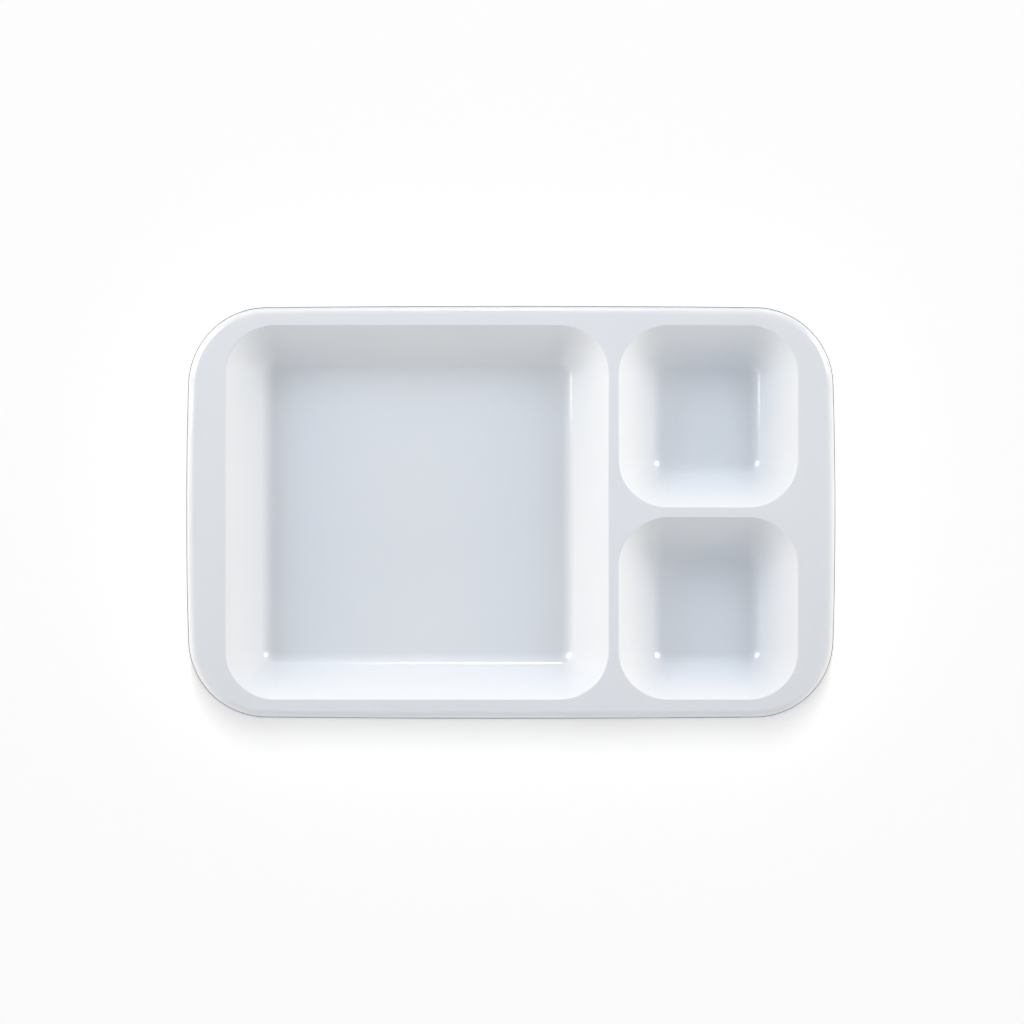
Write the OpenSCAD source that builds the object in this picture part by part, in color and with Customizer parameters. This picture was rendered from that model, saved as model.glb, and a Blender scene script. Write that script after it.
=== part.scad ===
// Divided plate: one large well beside two small ones, moulded as one shell,
// with a thin glaze pressed onto its food side. Lengths are in millimetres, +Z is up,
// and the origin is the middle of the plate, on the surface that it stands on.

/* [Plate] */
// Length of the plate, along X
plate_l = 305; // [260:1:400]
// Width of the plate, along Y
plate_w = 194; // [150:1:260]
// Radius of the plate's corners, seen from above
plate_corner_r = 37; // [30:0.5:60]
// Thickness of the shell, with its glaze
shell_t = 3; // [2.4:0.1:4]
// Thickness of the glaze on the food side
glaze_t = 0.3; // [0.2:0.05:0.5]

/* [Rim] */
// Width of the rim beside the large well
rim_large_end = 18.8; // [14:0.1:30]
// Width of the rim beside the small wells
rim_small_end = 17.9; // [14:0.1:30]
// Width of the rim along the two long sides
rim_side = 9.3; // [8.5:0.1:16]
// Width of the dividers between the wells
divider_w = 4.7; // [3.6:0.1:8]
// Radius of the lip's rounded upper edge
lip_r = 4; // [3.2:0.1:5.5]
// Height of the turned-down lip, from the deck to its lower edge
lip_h = 6.5; // [6:0.1:12]
// Thickness of the turned-down lip
lip_t = 3; // [2:0.1:4]
// Radius between the lip's inner face and the underside of the deck
lip_fillet_r = 1.5; // [0.5:0.1:2]

/* [Wells] */
// Depth of the wells, from the deck to their floors
well_depth = 20; // [14:0.5:28]
// Sideways run of the well walls, as a share of their height
wall_run_share = 0.9; // [0.5:0.05:1]
// Radius of the edge between the deck and the well walls
mouth_edge_r = 0.8; // [0.6:0.1:1.5]
// Length of the two small wells, along X
small_well_l = 84; // [64:0.5:110]
// Radius between the walls and the floor of the large well
large_fillet_r = 8; // [5:0.5:16]
// Radius between the walls and the floor of a small well
small_fillet_r = 7; // [5:0.5:16]
// Corner radius of the flat floor of the large well
large_floor_corner_r = 1.5; // [1:0.5:12]
// Corner radius of the flat floor of a small well
small_floor_corner_r = 2; // [1:0.5:12]

/* [Foot rings] */
// Height of the foot rings under the wells
foot_h = 1.5; // [0.8:0.1:4]
// Width of the foot rings
foot_w = 3; // [2:0.1:5]
// Radius of the foot rings' lower edges
foot_edge_r = 0.6; // [0.2:0.1:0.9]
// Setback of the foot rings from the flat of the floors
foot_setback = 0.5; // [0.2:0.1:2]

/* [Hidden] */
$fn = 96;

// How far a cut runs past the surface that it opens
cut_over = 1;

// How far the filled core of a carried section runs into its far side
core_over = 0.5;

// How far the rounding of a well stands past the flats that it joins, so that its edges cross theirs
round_over = 0.005;

// Step that the run of the well walls is rounded to
run_step = 0.001;

// Height of the deck above the surface that the plate stands on
deck_z = foot_h + shell_t + well_depth;

// Slope of the well walls, and the direction that they face, out of the shell
wall_sin = 1 / sqrt(1 + wall_run_share * wall_run_share);
wall_cos = wall_run_share * wall_sin;
wall_facing = [-wall_sin, wall_cos];

// Where the rounded mouth edge leaves the deck, outside the sharp edge that it replaces
mouth_edge_out = mouth_edge_r * (1 - wall_cos) / wall_sin;

// Sizes and places of the wells, measured at the sharp mouth edges
large_well_l = plate_l - rim_large_end - rim_small_end - divider_w - small_well_l;
large_well_w = plate_w - 2 * rim_side;
small_well_w = (large_well_w - divider_w) / 2;
large_well_x = rim_large_end + large_well_l / 2 - plate_l / 2;
small_well_x = plate_l / 2 - rim_small_end - small_well_l / 2;
small_well_y = (small_well_w + divider_w) / 2;

// Each well: its middle, its size, its fillet radius and its floor's corner radius
large_size = [large_well_l, large_well_w];
small_size = [small_well_l, small_well_w];
wells = [
    [[large_well_x, 0], large_size, large_fillet_r, large_floor_corner_r],
    [[small_well_x, -small_well_y], small_size, small_fillet_r, small_floor_corner_r],
    [[small_well_x, small_well_y], small_size, small_fillet_r, small_floor_corner_r]
];

// Height inside the deck where the pans around the wells end, below the deck's top
pan_top_z = -(shell_t + glaze_t) / 2;

// Rectangle on which the axes of the plate's corners stand
plate_axes = [plate_l - 2 * plate_corner_r, plate_w - 2 * plate_corner_r];

// Middle of the lip's rounding in the rim's section, and the height where its lower end turns round
lip_centre = [plate_corner_r - lip_r, -lip_r];
lip_turn_z = lip_t / 2 - lip_h;

function fillet_of(well) = well[2];
function floor_corner_of(well) = well[3];

// Sideways distance from a well's mouth edge to the flat of its floor
function wall_run(well) =
    round(((well_depth - fillet_of(well)) * wall_cos + fillet_of(well)) / wall_sin / run_step) * run_step;

// Rectangle on which the axes of a well's corners stand
function corner_axes(well) =
    [for (size = well[1]) size - 2 * (floor_corner_of(well) + wall_run(well))];

// Quarter of a disc, in the corner where both directions are positive
module quarter_disc(r) {
    intersection() {
        circle(r);
        square(r);
    }
}

// Rectangle from its lower left to its upper right corner
module rectangle(low, high) {
    translate(low)
        square(high - low);
}

// Carries a half section around a rectangle of corner axes, where x runs outwards from the axes
// and y runs up, and fills the rectangle between two heights
module carried(axes, low_z = 0, high_z = 0) {
    for (turn = [0:3]) {
        ahead = axes[turn % 2];
        across = axes[(turn + 1) % 2];
        rotate(90 * turn)
            translate([ahead / 2, 0, 0])
                rotate([90, 0, 0])
                    linear_extrude(across, center = true) {
                        children();
                        if (turn == 0 && high_z > low_z)
                            rectangle([-ahead - core_over, low_z], [0, high_z]);
                    }
        rotate(90 * turn)
            translate([ahead / 2, across / 2, 0])
                rotate_extrude(angle = 90)
                    children();
    }
}

// Lower half of the disc that rounds the foot of a wall, on the outer side of the corner axis
module fillet_disc(centre, r) {
    intersection() {
        translate(centre)
            circle(r + round_over);
        rectangle([0, centre.y - 2 * r], [centre.x + 2 * r, centre.y]);
    }
}

// Half section of the hollow of a well, its walls set back into the shell by some depth
module well_section(well, set_back, top_z) {
    floor_z = -well_depth - set_back;
    edge_r = mouth_edge_r - set_back;
    fillet_r = fillet_of(well) + set_back;
    edge_centre = [floor_corner_of(well) + wall_run(well) + mouth_edge_out, -mouth_edge_r];
    fillet_centre = [floor_corner_of(well), fillet_of(well) - well_depth];
    difference() {
        union() {
            polygon([
                [0, top_z],
                [edge_centre.x, top_z],
                edge_centre,
                edge_centre + edge_r * wall_facing,
                fillet_centre - fillet_r * wall_facing,
                fillet_centre,
                [fillet_centre.x, floor_z],
                [0, floor_z]
            ]);
            fillet_disc(fillet_centre, fillet_r);
        }
        translate(edge_centre)
            circle(edge_r + round_over);
    }
}

// Hollow of a well, from its floor up to a height above the deck
module well_hollow(well, set_back, top_z) {
    translate(well[0])
        carried(corner_axes(well), -well_depth - set_back, top_z)
            well_section(well, set_back, top_z);
}

// Half section of the pan that hangs from the deck around a well
module pan_section(well) {
    floor_z = -well_depth - shell_t;
    fillet_r = fillet_of(well) + shell_t;
    fillet_centre = [floor_corner_of(well), fillet_of(well) - well_depth];
    wall_foot = fillet_centre - fillet_r * wall_facing;
    polygon([
        [0, pan_top_z],
        [wall_foot.x + (pan_top_z - wall_foot.y) * wall_run_share, pan_top_z],
        wall_foot,
        fillet_centre,
        [fillet_centre.x, floor_z],
        [0, floor_z]
    ]);
    fillet_disc(fillet_centre, fillet_r);
}

// Pan around a well, solid until its hollow is cut
module well_pan(well) {
    translate(well[0])
        carried(corner_axes(well), -well_depth - shell_t, pan_top_z)
            pan_section(well);
}

// Section of a foot ring, from its lower face up into the floor of the pan
module foot_section(well) {
    inner_x = floor_corner_of(well) + foot_setback;
    middle_x = inner_x + foot_w / 2;
    edge_x = foot_w / 2 - foot_edge_r;
    for (side = [0, 1])
        translate([middle_x, -deck_z])
            mirror([side, 0]) {
                rectangle([0, 0], [edge_x, foot_edge_r]);
                rectangle([0, foot_edge_r], [foot_w / 2, foot_h + shell_t / 2]);
                translate([edge_x, foot_edge_r])
                    mirror([0, 1])
                        quarter_disc(foot_edge_r);
            }
}

// Foot ring that follows the edge of a well's floor
module foot_ring(well) {
    translate(well[0])
        carried(corner_axes(well))
            foot_section(well);
}

// Half section of the deck and its turned-down lip, with a ledge for the edge of the glaze
module rim_section() {
    lip_inner_x = plate_corner_r - lip_t;
    fillet_x = lip_inner_x - lip_fillet_r;
    fillet_z = -shell_t - lip_fillet_r;
    difference() {
        union() {
            rectangle([0, lip_turn_z], [lip_centre.x, -glaze_t]);
            rectangle([lip_centre.x, lip_turn_z], [plate_corner_r, lip_centre.y]);
            translate(lip_centre)
                quarter_disc(lip_r - glaze_t);
        }
        rectangle([0, lip_turn_z - cut_over], [fillet_x, -shell_t]);
        rectangle([fillet_x, lip_turn_z - cut_over], [lip_inner_x, fillet_z]);
        translate([fillet_x, fillet_z])
            quarter_disc(lip_fillet_r);
    }
    for (side = [0, 1])
        translate([plate_corner_r - lip_t / 2, lip_turn_z])
            mirror([side, 0])
                mirror([0, 1])
                    quarter_disc(lip_t / 2);
}

// Half section of the glaze on the deck, round the lip to the ledge
module film_section() {
    rectangle([0, -glaze_t], [lip_centre.x, 0]);
    translate(lip_centre)
        difference() {
            quarter_disc(lip_r);
            circle(lip_r - glaze_t);
        }
}

// White moulded shell: deck, lip, wells, dividers and foot rings in one piece
module melamine_body() {
    color([0.9, 0.91, 0.93])
        translate([0, 0, deck_z])
            difference() {
                union() {
                    carried(plate_axes, -shell_t, -glaze_t)
                        rim_section();
                    for (well = wells) {
                        well_pan(well);
                        foot_ring(well);
                    }
                }
                for (well = wells)
                    well_hollow(well, glaze_t, cut_over);
            }
}

// Hard glossy layer that covers the food side and ends at the parting line under the lip's rounding
module glaze_overlay() {
    color([0.96, 0.97, 1])
        translate([0, 0, deck_z])
            difference() {
                union() {
                    carried(plate_axes, -glaze_t, 0)
                        film_section();
                    for (well = wells)
                        well_hollow(well, glaze_t, -glaze_t / 2);
                }
                for (well = wells)
                    well_hollow(well, 0, cut_over);
            }
}

melamine_body();
glaze_overlay();
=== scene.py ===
"""Divided compartment plate, seen from straight above in a white studio."""

import math

import bpy
import numpy as np
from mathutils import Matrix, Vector
from mathutils.geometry import delaunay_2d_cdt


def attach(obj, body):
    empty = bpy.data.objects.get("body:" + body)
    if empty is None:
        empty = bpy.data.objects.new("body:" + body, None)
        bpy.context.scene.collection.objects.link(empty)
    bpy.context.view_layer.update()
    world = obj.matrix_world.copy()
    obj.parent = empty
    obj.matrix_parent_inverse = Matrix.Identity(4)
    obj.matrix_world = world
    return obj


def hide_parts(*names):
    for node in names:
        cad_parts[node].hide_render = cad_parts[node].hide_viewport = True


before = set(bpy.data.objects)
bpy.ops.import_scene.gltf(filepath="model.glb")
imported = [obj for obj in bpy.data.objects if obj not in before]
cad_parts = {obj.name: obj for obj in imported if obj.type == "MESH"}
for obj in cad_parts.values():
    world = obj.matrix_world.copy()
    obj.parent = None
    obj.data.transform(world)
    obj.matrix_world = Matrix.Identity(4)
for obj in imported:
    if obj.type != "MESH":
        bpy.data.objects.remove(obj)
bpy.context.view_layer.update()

# Sizes of the plate in millimetres, as the part's source has them
MM = 0.001
PLATE_L, PLATE_W, PLATE_CORNER_R = 305.0, 194.0, 37.0
SHELL_T, GLAZE_T = 3.0, 0.3
LIP_R, LIP_H, LIP_T, LIP_FILLET_R = 4.0, 6.5, 3.0, 1.5
WELL_DEPTH, MOUTH_EDGE_R = 20.0, 0.8
FOOT_H, FOOT_W, FOOT_EDGE_R, FOOT_SETBACK = 1.5, 3.0, 0.6, 0.5
DECK_Z = FOOT_H + SHELL_T + WELL_DEPTH

# Sideways run of the well walls as a share of their height, the direction that they face in a section,
# and its angle
WALL_RUN_SHARE = 0.9
WALL_FACING = np.array([-1.0, WALL_RUN_SHARE]) / math.hypot(1.0, WALL_RUN_SHARE)
WALL_ANGLE = math.degrees(math.atan2(WALL_FACING[1], WALL_FACING[0]))

# What only the looks have: bowed sides, a bead at the parting line, and soft inner corners underneath
END_BOW_R, SIDE_BOW_R = 2000.0, 10260.0
BEAD_W, BEAD_EDGE_R = 0.4, 0.2
# Mark of the bead's sheets, where the shell's finish paints a dark grey as painted shade round the plate's
# outline
PAINTED_SHADE_MARK = "painted_shade_line"
UNDER_FILLET_R, FOOT_FILLET_R = 1.5, 0.5

# Wells: middle, half size at the sharp mouth edge, fillet radius and corner radius of the flat floor
LARGE_WELL = ((-43.9, 0.0), (89.8, 87.7), 8.0, 1.5)
FRONT_WELL = ((92.6, -45.025), (42.0, 42.675), 7.0, 2.0)
BACK_WELL = ((92.6, 45.025), (42.0, 42.675), 7.0, 2.0)
WELLS = (LARGE_WELL, FRONT_WELL, BACK_WELL)

# Steps of the surfaces
CORNER_STEPS, SIDE_STEPS = 28, 12
ARC_STEPS, SMALL_ARC_STEPS, WALL_STEPS, FLOOR_STEPS = 16, 6, 6, 8

# Points that agree to so many decimals of a millimetre are one, after a nudge that keeps round sizes clear
# of the places where rounding turns over
MERGE_DECIMALS, MERGE_NUDGE = 3, 0.000137

# How the deck's triangles are found: only inside its edges, and with points closer than this taken as one
INSIDE_ONLY, CLOSE = 1, 1e-6


# Sections: runs of points in a plane where x points out of the corner axis and z up from the deck.
# Each run keeps the facing of its surface, so that runs that touch shade as one.

def arc(centre, radius, start, end, steps=ARC_STEPS, hollow=False):
    """Arc of a section: the centre plus the radius times each direction from start to end, in degrees.
    Its facing is that direction, or its opposite on a hollow arc."""
    angle = np.radians(np.linspace(start, end, steps + 1))
    direction = np.stack([np.cos(angle), np.sin(angle)], axis=1)
    return np.asarray(centre) + radius * direction, -direction if hollow else direction


def straight(start, end, facing, steps=1):
    """Straight run of a section: start plus equal shares of the way to end, all with one facing."""
    share = np.linspace(0.0, 1.0, steps + 1)[:, None]
    points = np.asarray(start) * (1.0 - share) + np.asarray(end) * share
    return points, np.broadcast_to(np.asarray(facing, float), points.shape)


# Paths: closed rows of base points and of the directions that face outwards from them.

def rounded_path(middle, half):
    """Path round a rectangle of corner axes: at each axis the facing turns through 90 degrees, and along
    each side it stays while the base runs on to the next axis."""
    turn = np.radians(np.linspace(0.0, 90.0, CORNER_STEPS + 1))
    run = np.linspace(0.0, 1.0, SIDE_STEPS + 1)[1:-1, None]
    bases, facings = [], []
    for quarter, axis in enumerate([(1, 1), (-1, 1), (-1, -1), (1, -1)]):
        here = np.asarray(middle) + np.asarray(axis) * half
        ahead = np.asarray(middle) + np.array([-axis[1], axis[0]]) * half
        angle = turn + quarter * math.pi / 2
        corner = np.stack([np.cos(angle), np.sin(angle)], axis=1)
        bases += [np.broadcast_to(here, corner.shape), here + (ahead - here) * run]
        facings += [corner, np.broadcast_to(corner[-1], (len(run), 2))]
    return np.concatenate(bases), np.concatenate(facings)


def bowed_path(length, width, corner_r):
    """Path round the plate's outline, less the corner radius: eight arcs that touch. Flat arcs, with their
    middles on the axes of the plate, form its ends and sides, and a corner arc touches each pair of them."""
    end_middle = np.array([length / 2 - END_BOW_R, 0.0])
    side_middle = np.array([0.0, width / 2 - SIDE_BOW_R])
    gap = side_middle - end_middle
    apart = np.hypot(*gap)
    along = (apart ** 2 + (END_BOW_R - corner_r) ** 2 - (SIDE_BOW_R - corner_r) ** 2) / (2 * apart)
    aside = math.sqrt((END_BOW_R - corner_r) ** 2 - along ** 2)
    across = np.array([-gap[1], gap[0]]) / apart
    corner = end_middle + gap / apart * along + across * aside
    end_angle = math.atan2(*(corner - end_middle)[::-1])
    side_angle = math.atan2(*(corner - side_middle)[::-1])
    end_turn = np.linspace(0.0, end_angle, SIDE_STEPS + 1)[:-1]
    corner_turn = np.linspace(end_angle, side_angle, CORNER_STEPS + 1)
    side_turn = np.linspace(side_angle, math.pi / 2, SIDE_STEPS + 1)[1:]
    rows = [
        (end_middle, END_BOW_R, end_turn),
        (corner, corner_r, corner_turn),
        (side_middle, SIDE_BOW_R, side_turn),
    ]
    facing = np.concatenate([np.stack([np.cos(turn), np.sin(turn)], axis=1) for _, _, turn in rows])
    reach = np.concatenate([np.full(len(turn), radius - corner_r) for _, radius, turn in rows])
    middle = np.concatenate([np.broadcast_to(middle, (len(turn), 2)) for middle, _, turn in rows])
    base = middle + reach[:, None] * facing
    return mirrored_quarter(base), mirrored_quarter(facing)


def mirrored_quarter(row):
    """Whole closed row from its first quarter, which runs from the X axis to the Y axis."""
    half = np.concatenate([row, row[-2::-1] * [-1, 1]])
    return np.concatenate([half, half[-2:0:-1] * [1, -1]])


# Sheets: points, facings and faces of one smooth surface. A triangle's fourth corner is -1.

def carried(path, run):
    """Sheet of a section carried along a path: base plus facing times x, and z up from the deck."""
    (base, outward), (points, facing) = path, run

    def placed(origin, section):
        flat = origin[:, None, :] + outward[:, None, :] * section[None, :, :1]
        upright = np.broadcast_to(section[:, 1], flat.shape[:2])
        return np.concatenate([flat, upright[..., None]], axis=2).reshape(-1, 3)

    rows, columns = len(base), len(points)
    here = np.arange(rows)[:, None] * columns + np.arange(columns - 1)
    ahead = np.roll(np.arange(rows), -1)[:, None] * columns + np.arange(columns - 1)
    faces = np.stack([here, ahead, ahead + 1, here + 1], axis=2).reshape(-1, 4)
    return facing_right(placed(base, points), placed(np.zeros_like(base), facing), faces)


def floor_sheet(middle, edge, z, up):
    """Flat floor inside an edge: rings at equal shares of the way from the edge to the middle, and a fan
    of triangles round the middle."""
    share = np.linspace(1.0, 0.0, FLOOR_STEPS + 1)[:-1, None, None]
    rings = np.asarray(middle) + (edge - middle) * share
    flat = np.concatenate([rings.reshape(-1, 2), [middle]])
    points = np.column_stack([flat, np.full(len(flat), z)])
    count = len(edge)
    column = np.arange(count)
    beside = np.roll(column, -1)
    here = np.arange(FLOOR_STEPS - 1)[:, None] * count
    inside = here + count
    quads = np.stack([here + column, here + beside, inside + beside, inside + column], axis=2)
    last = (FLOOR_STEPS - 1) * count
    centre = np.full(count, len(flat) - 1)
    fan = np.column_stack([last + column, last + beside, centre, np.full(count, -1)])
    facings = np.broadcast_to([0.0, 0.0, up], points.shape)
    return facing_right(points, facings, np.concatenate([quads.reshape(-1, 4), fan]))


def deck_sheet(outer, holes, z, up):
    """Flat deck between its outer edge and the rounded holes in it: triangles between all the edges, less
    those that have their three corners on one hole."""
    loops = [outer, *holes]
    flat = np.concatenate(loops)
    first = np.cumsum([0] + [len(loop) for loop in loops[:-1]])
    edges = np.concatenate([
        start + np.column_stack([np.arange(len(loop)), np.roll(np.arange(len(loop)), -1)])
        for start, loop in zip(first, loops)
    ])
    _, _, corners, origins, *_ = delaunay_2d_cdt(
        list(map(Vector, flat)), edges.tolist(), [], INSIDE_ONLY, CLOSE
    )
    source = np.array([origin[0] for origin in origins])
    triangles = source[np.array(corners)]
    loop_of = np.repeat(np.arange(len(loops)), [len(loop) for loop in loops])[triangles]
    in_hole = (loop_of[:, 0] > 0) & (loop_of == loop_of[:, :1]).all(axis=1)
    triangles = triangles[~in_hole]
    faces = np.column_stack([triangles, np.full(len(triangles), -1)])
    points = np.column_stack([flat, np.full(len(flat), z)])
    return facing_right(points, np.broadcast_to([0.0, 0.0, up], points.shape), faces)


def facing_right(points, facings, faces):
    """The sheet with each face wound so that it faces as its points say."""
    first, second, third = (points[faces[:, corner]] for corner in range(3))
    wound = np.cross(second - first, third - first)
    wrong = np.einsum("ij,ij->i", wound, facings[faces[:, 0]]) < 0
    turned = faces[wrong]
    kept = faces.copy()
    kept[wrong] = np.where(turned[:, 3:] < 0, turned[:, [0, 2, 1, 3]], turned[:, [0, 3, 2, 1]])
    return points, facings, kept


def ring(path, x):
    """Row of points at one distance from a path's base."""
    base, outward = path
    return base + outward * x


def moulded_piece(name, sheets, material, parting=()):
    """One closed mesh from sheets. Points that meet are merged, and each corner of a face keeps the facing
    that its own sheet gives it. The sheets of the bead at the parting line are marked in an attribute, which
    the shell's finish paints dark grey as painted shade."""
    plain = sum(len(points) for points, _, _ in sheets)
    sheets = [*sheets, *parting]
    first = np.cumsum([0] + [len(points) for points, _, _ in sheets[:-1]])
    points = np.concatenate([points for points, _, _ in sheets]) + [0.0, 0.0, DECK_Z]
    facings = np.concatenate([facings for _, facings, _ in sheets])
    faces = np.concatenate([
        np.where(faces < 0, -1, faces + start) for start, (_, _, faces) in zip(first, sheets)
    ])
    rounded = np.round(points + MERGE_NUDGE, MERGE_DECIMALS)
    _, kept, merged = np.unique(rounded, axis=0, return_index=True, return_inverse=True)
    corners = faces[faces >= 0]
    sizes = (faces >= 0).sum(axis=1)
    starts = np.concatenate([[0], np.cumsum(sizes)[:-1]])
    mesh = bpy.data.meshes.new(name)
    mesh.vertices.add(len(kept))
    mesh.vertices.foreach_set("co", (points[kept] * MM).ravel())
    mesh.loops.add(len(corners))
    mesh.loops.foreach_set("vertex_index", merged.ravel()[corners].astype(np.int32))
    mesh.polygons.add(len(sizes))
    mesh.polygons.foreach_set("loop_start", starts.astype(np.int32))
    mesh.update(calc_edges=True)
    mesh.polygons.foreach_set("use_smooth", np.ones(len(sizes), bool))
    mesh.normals_split_custom_set(facings[corners].tolist())
    # Marks the bead's corners, which the shell's finish paints dark grey as painted shade
    mark = mesh.attributes.new(PAINTED_SHADE_MARK, "FLOAT", "CORNER")
    mark.data.foreach_set("value", (corners >= plain).astype(np.float32))
    mesh.materials.append(material)
    piece = bpy.data.objects.new(name, mesh)
    bpy.context.scene.collection.objects.link(piece)
    return piece


# The plate's surfaces

def wall_run(well):
    """Sideways distance from a well's sharp mouth edge to the flat of its floor."""
    fillet = well[2]
    return ((WELL_DEPTH - fillet) * WALL_FACING[1] + fillet) / -WALL_FACING[0]


def well_path(well):
    """Path round the corner axes of a well: its mouth, less the run of its wall and its floor's corners."""
    middle, half, _, floor_corner = well
    return rounded_path(middle, np.asarray(half) - floor_corner - wall_run(well))


OUTLINE = bowed_path(PLATE_L, PLATE_W, PLATE_CORNER_R)
WELL_PATHS = [well_path(well) for well in WELLS]


def well_runs(well, set_back):
    """Section of a well from the deck down: mouth edge, sloping wall and floor fillet, set back into the
    shell by some depth."""
    _, _, fillet, floor_corner = well
    edge_out = MOUTH_EDGE_R * (1 - WALL_FACING[1]) / -WALL_FACING[0]
    edge_middle = np.array([floor_corner + wall_run(well) + edge_out, -MOUTH_EDGE_R])
    fillet_middle = np.array([floor_corner, fillet - WELL_DEPTH])
    edge = arc(edge_middle, MOUTH_EDGE_R - set_back, 90, WALL_ANGLE, SMALL_ARC_STEPS)
    bend = arc(fillet_middle, fillet + set_back, WALL_ANGLE - 180, -90, hollow=True)
    return [edge, straight(edge[0][-1], bend[0][0], WALL_FACING, WALL_STEPS), bend]


def lip_run(set_back):
    """Rounding of the lip from the deck outwards, short of the outline by the bead at the parting line."""
    radius = LIP_R - BEAD_W
    return arc((PLATE_CORNER_R - LIP_R, -radius), radius - set_back, 90, 0)


def food_side(set_back, up):
    """Sheets of the food side at some depth under its surface: deck, wells, floors and the lip's rounding."""
    lip = lip_run(set_back)
    sheets = [carried(OUTLINE, (lip[0], lip[1] * up))]
    mouths = []
    for well, path in zip(WELLS, WELL_PATHS):
        runs = well_runs(well, set_back)
        sheets += [carried(path, (points, facing * up)) for points, facing in runs]
        mouths.append(ring(path, runs[0][0][0, 0]))
        floor_edge = ring(path, runs[-1][0][-1, 0])
        sheets.append(floor_sheet(np.array(well[0]), floor_edge, -WELL_DEPTH - set_back, up))
    sheets.append(deck_sheet(ring(OUTLINE, lip[0][0, 0]), mouths, -set_back, up))
    return sheets


def glaze_sheets():
    """The glaze: its glossy face, its back against the shell, and its edge on the ledge of the bead."""
    outer_x = PLATE_CORNER_R - BEAD_W
    inner_x = outer_x - GLAZE_T
    turn_z = -LIP_R + BEAD_W
    edge = [
        straight((outer_x, turn_z), (outer_x, -LIP_R), (1, 0)),
        straight((outer_x, -LIP_R), (inner_x, -LIP_R), (0, -1)),
        straight((inner_x, -LIP_R), (inner_x, turn_z), (-1, 0)),
    ]
    return food_side(0.0, 1) + food_side(GLAZE_T, -1) + [carried(OUTLINE, run) for run in edge]


def parting_runs():
    """Section of the bead at the parting line: the ledge under the glaze's edge, and its rounded edge."""
    ledge_x = PLATE_CORNER_R - BEAD_W - GLAZE_T
    edge = arc((PLATE_CORNER_R - BEAD_EDGE_R, -LIP_R - BEAD_EDGE_R), BEAD_EDGE_R, 90, 0, SMALL_ARC_STEPS)
    return [straight((ledge_x, -LIP_R), edge[0][0], (0, 1)), edge]


def lip_runs():
    """Section of the shell's lip: the face behind the edge of the glaze, and below the bead down the outside,
    round the lower edge and up the inside to the underside of the deck."""
    ledge_x = PLATE_CORNER_R - BEAD_W - GLAZE_T
    turn_z = LIP_T / 2 - LIP_H
    inner_x = PLATE_CORNER_R - LIP_T
    lower = arc((PLATE_CORNER_R - LIP_T / 2, turn_z), LIP_T / 2, 0, -180)
    fillet_middle = (inner_x - LIP_FILLET_R, -SHELL_T - LIP_FILLET_R)
    fillet = arc(fillet_middle, LIP_FILLET_R, 0, 90, SMALL_ARC_STEPS, hollow=True)
    return [
        straight((ledge_x, -LIP_R + BEAD_W), (ledge_x, -LIP_R), (1, 0)),
        straight((PLATE_CORNER_R, -LIP_R - BEAD_EDGE_R), lower[0][0], (1, 0)),
        lower,
        straight(lower[0][-1], fillet[0][0], (-1, 0)),
        fillet,
    ]


def pan_runs(well):
    """Section of the shell under a well, from the underside of the deck to the flat under the floor: soft
    inner corner, sloping wall, rounding, foot ring with soft corners and rounded lower edges."""
    _, _, fillet, floor_corner = well
    down = -WALL_FACING
    bend_middle = np.array([floor_corner, fillet - WELL_DEPTH])
    bend_r = fillet + SHELL_T
    wall_foot = bend_middle + bend_r * down
    corner_x = wall_foot[0] + (-SHELL_T - wall_foot[1]) * WALL_RUN_SHARE
    tangent = UNDER_FILLET_R * (1 - WALL_FACING[1]) / -WALL_FACING[0]
    under_middle = (corner_x + tangent, -SHELL_T - UNDER_FILLET_R)
    under = arc(under_middle, UNDER_FILLET_R, 90, WALL_ANGLE, SMALL_ARC_STEPS, hollow=True)
    inner_x = floor_corner + FOOT_SETBACK
    outer_x = inner_x + FOOT_W
    nook_x = outer_x + FOOT_FILLET_R
    nook_z = bend_middle[1] - math.sqrt((bend_r + FOOT_FILLET_R) ** 2 - (nook_x - bend_middle[0]) ** 2)
    nook_angle = math.degrees(math.atan2(nook_z - bend_middle[1], nook_x - bend_middle[0]))
    bend = arc(bend_middle, bend_r, WALL_ANGLE - 180, nook_angle)
    nook = arc((nook_x, nook_z), FOOT_FILLET_R, nook_angle + 180, 180, SMALL_ARC_STEPS, hollow=True)
    edge_z = FOOT_EDGE_R - DECK_Z
    outer_edge = arc((outer_x - FOOT_EDGE_R, edge_z), FOOT_EDGE_R, 0, -90, SMALL_ARC_STEPS)
    inner_edge = arc((inner_x + FOOT_EDGE_R, edge_z), FOOT_EDGE_R, -90, -180, SMALL_ARC_STEPS)
    inner_nook_middle = (inner_x - FOOT_FILLET_R, -WELL_DEPTH - SHELL_T - FOOT_FILLET_R)
    inner_nook = arc(inner_nook_middle, FOOT_FILLET_R, 0, 90, SMALL_ARC_STEPS, hollow=True)
    return [
        under,
        straight(under[0][-1], bend[0][0], down, WALL_STEPS),
        bend,
        nook,
        straight(nook[0][-1], outer_edge[0][0], (1, 0)),
        outer_edge,
        straight(outer_edge[0][-1], inner_edge[0][0], (0, -1)),
        inner_edge,
        straight(inner_edge[0][-1], inner_nook[0][0], (-1, 0)),
        inner_nook,
    ]


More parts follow.
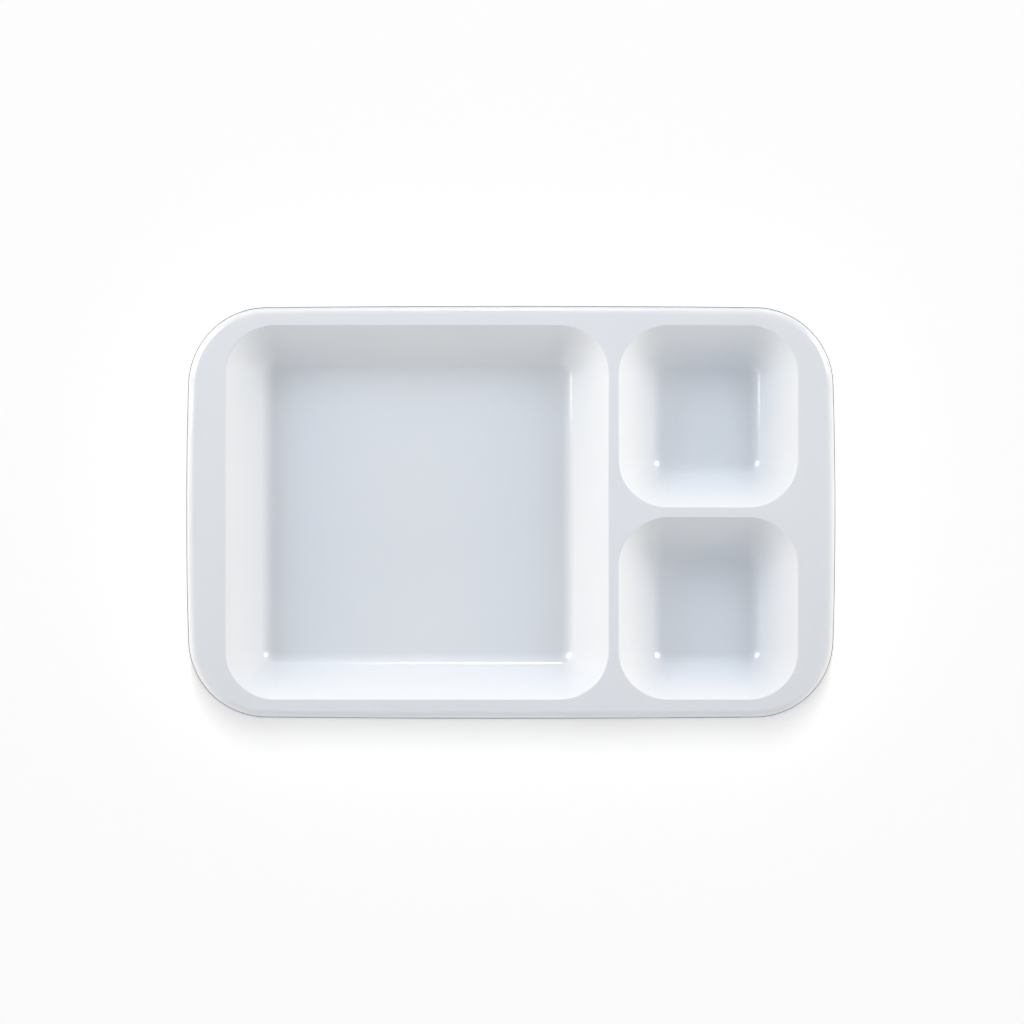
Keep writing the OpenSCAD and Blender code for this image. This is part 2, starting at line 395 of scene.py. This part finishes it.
def shell_sheets():
    """The moulded shell: its face against the glaze, its lip, the underside of its deck, and its pans."""
    sheets = food_side(GLAZE_T, 1)
    lip = lip_runs()
    sheets += [carried(OUTLINE, run) for run in lip]
    mouths = []
    for well, path in zip(WELLS, WELL_PATHS):
        runs = pan_runs(well)
        sheets += [carried(path, run) for run in runs]
        mouths.append(ring(path, runs[0][0][0, 0]))
        floor_edge = ring(path, runs[-1][0][-1, 0])
        sheets.append(floor_sheet(np.array(well[0]), floor_edge, -WELL_DEPTH - SHELL_T, -1))
    sheets.append(deck_sheet(ring(OUTLINE, lip[-1][0][-1, 0]), mouths, -SHELL_T, -1))
    return sheets


# Materials

# Refraction of hard melamine, and the range of a noise that most of its values lie in
MELAMINE_IOR = 1.56
NOISE_LOW, NOISE_HIGH = 0.3, 0.7


def node(tree, kind, at, **settings):
    """New shader node at a place in the tree, with its settings and the values of its sockets."""
    made = tree.nodes.new(kind)
    made.location = at
    for name, value in settings.items():
        if name in made.bl_rna.properties:
            setattr(made, name, value)
        else:
            made.inputs[name.replace("_", " ")].default_value = value
    return made


def white_moulding(name, pale, deep, roughness, grain):
    """Finish of pressed white melamine. A broad cloud drifts between two near whites, a finer one varies the
    roughness, and a fine ripple lifts the surface. Grain gives the ripple's scale, height and strength."""
    material = bpy.data.materials.new(name)
    material.use_nodes = True
    tree = material.node_tree
    link = tree.links.new
    shader = tree.nodes["Principled BSDF"]
    shader.inputs["IOR"].default_value = MELAMINE_IOR
    place = node(tree, "ShaderNodeTexCoord", (-1100, 0)).outputs["Object"]
    cloud = node(tree, "ShaderNodeTexNoise", (-800, 300), Scale=14.0, Detail=3.0, Roughness=0.45)
    tint = node(tree, "ShaderNodeValToRGB", (-550, 300))
    low, high = tint.color_ramp.elements
    low.position, low.color = NOISE_LOW, (*deep, 1.0)
    high.position, high.color = NOISE_HIGH, (*pale, 1.0)
    smear = node(tree, "ShaderNodeTexNoise", (-800, 0), Scale=60.0, Detail=4.0, Roughness=0.6)
    gloss = node(tree, "ShaderNodeMapRange", (-550, 0), From_Min=NOISE_LOW, From_Max=NOISE_HIGH)
    gloss.inputs["To Min"].default_value, gloss.inputs["To Max"].default_value = roughness
    ripple = node(tree, "ShaderNodeTexNoise", (-800, -300), Scale=grain[0], Detail=2.0, Roughness=0.5)
    bump = node(tree, "ShaderNodeBump", (-550, -300), Distance=grain[1], Strength=grain[2])
    for texture in (cloud, smear, ripple):
        link(place, texture.inputs["Vector"])
    link(cloud.outputs["Fac"], tint.inputs["Fac"])
    link(tint.outputs["Color"], shader.inputs["Base Color"])
    link(smear.outputs["Fac"], gloss.inputs["Value"])
    link(gloss.outputs["Result"], shader.inputs["Roughness"])
    link(ripple.outputs["Fac"], bump.inputs["Height"])
    link(bump.outputs["Normal"], shader.inputs["Normal"])
    return material


def paint_bead_shade(material, grey):
    """Painted shade: mixes a dark grey into the finish where the mesh is marked, on the bead at the parting
    line, so that the plate's outline reads as a shaded edge.
    """
    tree = material.node_tree
    shader = tree.nodes["Principled BSDF"]
    tint = shader.inputs["Base Color"].links[0].from_socket
    mark = node(tree, "ShaderNodeAttribute", (-550, 600), attribute_name=PAINTED_SHADE_MARK)
    darker = node(tree, "ShaderNodeMixRGB", (-250, 400), Color2=(*grey, 1.0))
    tree.links.new(mark.outputs["Fac"], darker.inputs["Fac"])
    tree.links.new(tint, darker.inputs["Color1"])
    tree.links.new(darker.outputs["Color"], shader.inputs["Base Color"])


def seen_apart(tree, plain, seen):
    """Output of a mix that is one shader to the camera and in reflections, and a plain one to other light."""
    path = node(tree, "ShaderNodeLightPath", (-500, 300))
    share = path.outputs["Is Camera Ray"]
    for number, ray in enumerate(("Is Glossy Ray", "Is Transmission Ray")):
        either = node(tree, "ShaderNodeMath", (-300 + 200 * number, 300), operation="MAXIMUM")
        tree.links.new(share, either.inputs[0])
        tree.links.new(path.outputs[ray], either.inputs[1])
        share = either.outputs[0]
    mixed = node(tree, "ShaderNodeMixShader", (300, 0))
    tree.links.new(share, mixed.inputs["Fac"])
    tree.links.new(plain.outputs[0], mixed.inputs[1])
    tree.links.new(seen.outputs[0], mixed.inputs[2])
    return mixed.outputs[0]


# Studio

WHITE = (1.0, 1.0, 1.0, 1.0)

# The camera's height over the deck, the width that it sees there and its place, in metres, and the width
# of its sensor, in millimetres
CAMERA_HEIGHT = 2.0
VIEW_WIDTH = 0.48
CAMERA_PLACE = (0.00055, 0.00015)
SENSOR = 36.0


def add_camera():
    """Camera that looks straight down on the plate."""
    data = bpy.data.cameras.new("camera")
    data.sensor_width = SENSOR
    data.lens = SENSOR * CAMERA_HEIGHT / VIEW_WIDTH
    camera = bpy.data.objects.new("camera", data)
    camera.location = (*CAMERA_PLACE, DECK_Z * MM + CAMERA_HEIGHT)
    bpy.context.scene.collection.objects.link(camera)
    bpy.context.scene.camera = camera


# The floor's half width, its grey to other light, and the glow that fills up its white where it is seen
FLOOR_HALF = 30.0
FLOOR_GREY = (0.8, 0.8, 0.8, 1.0)
FLOOR_GLOW = 0.59


def add_floor():
    """Wide square floor, a plain white that keeps the plate's shadow."""
    corner = np.array([(-1, -1, 0), (1, -1, 0), (1, 1, 0), (-1, 1, 0)]) * FLOOR_HALF
    mesh = bpy.data.meshes.new("studio_floor")
    mesh.from_pydata(corner.tolist(), [], [(0, 1, 2, 3)])
    material = bpy.data.materials.new("studio_floor_paint")
    material.use_nodes = True
    tree = material.node_tree
    tree.nodes.clear()
    output = node(tree, "ShaderNodeOutputMaterial", (600, 0))
    grey = node(tree, "ShaderNodeBsdfDiffuse", (-300, 0), Color=FLOOR_GREY)
    glow = node(tree, "ShaderNodeEmission", (-300, -200), Color=WHITE, Strength=FLOOR_GLOW)
    white = node(tree, "ShaderNodeBsdfDiffuse", (-300, -400), Color=WHITE)
    glowing_white = node(tree, "ShaderNodeAddShader", (0, -300))
    tree.links.new(glow.outputs[0], glowing_white.inputs[0])
    tree.links.new(white.outputs[0], glowing_white.inputs[1])
    tree.links.new(seen_apart(tree, grey, glowing_white), output.inputs["Surface"])
    mesh.materials.append(material)
    floor = bpy.data.objects.new("studio_floor", mesh)
    bpy.context.scene.collection.objects.link(floor)
    return floor


WORLD_LIGHT = (0.02, 0.02, 0.02)


def add_world():
    """Surroundings that are white where they are seen, and give next to no light."""
    world = bpy.data.worlds.new("studio")
    bpy.context.scene.world = world
    world.use_nodes = True
    tree = world.node_tree
    dim = tree.nodes["Background"]
    dim.inputs["Color"].default_value = (*WORLD_LIGHT, 1.0)
    white = node(tree, "ShaderNodeBackground", (0, -200), Color=WHITE, Strength=1.0)
    tree.links.new(seen_apart(tree, dim, white), tree.nodes["World Output"].inputs["Surface"])


# Lamps: azimuth from +X and elevation in degrees, distance, width and height in metres, watts and colour.
# Softboxes light the plate and don't show in its gloss. Glint cards show only there.
WARM, COOL, PLAIN = (1.0, 0.88, 0.71), (0.81, 0.89, 1.0), (1.0, 1.0, 1.0)
SOFTBOXES = {
    "left_low": (180, 8, 1.0, 1.0, 0.2, 2.4, WARM),
    "left_side": (180, 18, 1.0, 1.0, 0.2, 2.0, WARM),
    "left_high": (180, 30, 1.0, 1.0, 0.2, 1.4, COOL),
    "right_low": (0, 8, 1.0, 1.0, 0.2, 2.2, WARM),
    "right_side": (0, 18, 1.0, 1.0, 0.2, 2.0, WARM),
    "right_high": (0, 30, 1.0, 1.0, 0.2, 1.2, COOL),
    "back_left_low": (135, 10, 1.0, 0.6, 0.25, 1.8, WARM),
    "back_left_high": (135, 26, 1.0, 0.6, 0.25, 3.2, COOL),
    "back_right_low": (45, 10, 1.0, 0.6, 0.25, 1.6, WARM),
    "back_right_high": (45, 26, 1.0, 0.6, 0.25, 2.8, COOL),
    "front_low": (270, 10, 1.0, 1.0, 0.25, 0.8, WARM),
    "front_high": (270, 30, 1.0, 1.0, 0.25, 1.0, COOL),
    "front_rim": (270, 0.6, 1.0, 1.0, 0.02, 3.0, COOL),
    "overhead": (0, 90, 0.5, 0.3, 0.3, 0.7, COOL),
}
GLINT_CARDS = {
    "left_card": (150, 32, 0.95, 0.4, 0.6, 8.0, PLAIN),
    "right_card": (26, 30, 1.2, 0.4, 0.7, 11.0, PLAIN),
    "back_card": (90, 14, 1.0, 0.16, 0.12, 1.1, PLAIN),
    "back_glow": (90, 8, 1.0, 1.0, 0.2, 2.2, PLAIN),
    "left_slit": (174, 28, 1.0, 0.03, 0.3, 0.3, PLAIN),
}
FLOOR_STRIP = (90, 70, 8.0, 0.5, 6.4, 270.0, PLAIN)


def add_panel(name, azimuth, elevation, distance, width, height, watts, colour):
    """Flat lamp at a direction and distance from the plate, turned towards it and unseen by the camera."""
    data = bpy.data.lights.new(name, "AREA")
    data.shape, data.size, data.size_y = "RECTANGLE", width, height
    data.energy, data.color = watts, colour
    turn, rise = math.radians(azimuth), math.radians(elevation)
    level = math.cos(rise)
    away = Vector((math.cos(turn) * level, math.sin(turn) * level, math.sin(rise)))
    panel = bpy.data.objects.new(name, data)
    panel.location = away * distance
    panel.rotation_euler = away.to_track_quat("Z", "Y").to_euler()
    panel.visible_camera = False
    bpy.context.scene.collection.objects.link(panel)
    return panel


def lit_only(name, lamps, receivers):
    """Light links that let lamps light only some objects."""
    group = bpy.data.collections.new(name)
    for receiver in receivers:
        group.objects.link(receiver)
    for lamp in lamps:
        lamp.light_linking.receiver_collection = group


def add_lamps(plate, floor):
    """The plate's softboxes and glint cards, and the strip that lights the floor alone."""
    softboxes = [add_panel(name, *settings) for name, settings in SOFTBOXES.items()]
    cards = [add_panel(name, *settings) for name, settings in GLINT_CARDS.items()]
    for softbox in softboxes:
        softbox.visible_glossy = False
    for card in cards:
        card.visible_diffuse = False
    lit_only("plate_light", softboxes + cards, plate)
    lit_only("floor_light", [add_panel("floor_strip", *FLOOR_STRIP)], [floor])


# Build

glaze_finish = white_moulding(
    "gloss_glaze", pale=(0.905, 0.912, 0.925), deep=(0.89, 0.90, 0.916),
    roughness=(0.08, 0.14), grain=(350.0, 0.0002, 0.04),
)
shell_finish = white_moulding(
    "satin_shell", pale=(0.82, 0.83, 0.84), deep=(0.79, 0.80, 0.815),
    roughness=(0.28, 0.40), grain=(900.0, 0.0002, 0.08),
)
# Painted shade: a dark grey on the shell's bead, so that the plate's outline reads as a shaded edge
paint_bead_shade(shell_finish, grey=(0.26, 0.26, 0.27))

glaze = moulded_piece("food_side_glaze", glaze_sheets(), glaze_finish)
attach(glaze, "root")
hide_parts("glaze_overlay")

# The bead's sheets, which are also marked for the painted shade of the shell's finish
parting = [carried(OUTLINE, run) for run in parting_runs()]
shell = moulded_piece("moulded_shell", shell_sheets(), shell_finish, parting)
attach(shell, "root")
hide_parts("melamine_body")

add_camera()
studio_floor = add_floor()
add_world()
add_lamps([glaze, shell], studio_floor)
bpy.context.scene.view_settings.view_transform = "Standard"

bpy.context.view_layer.update()
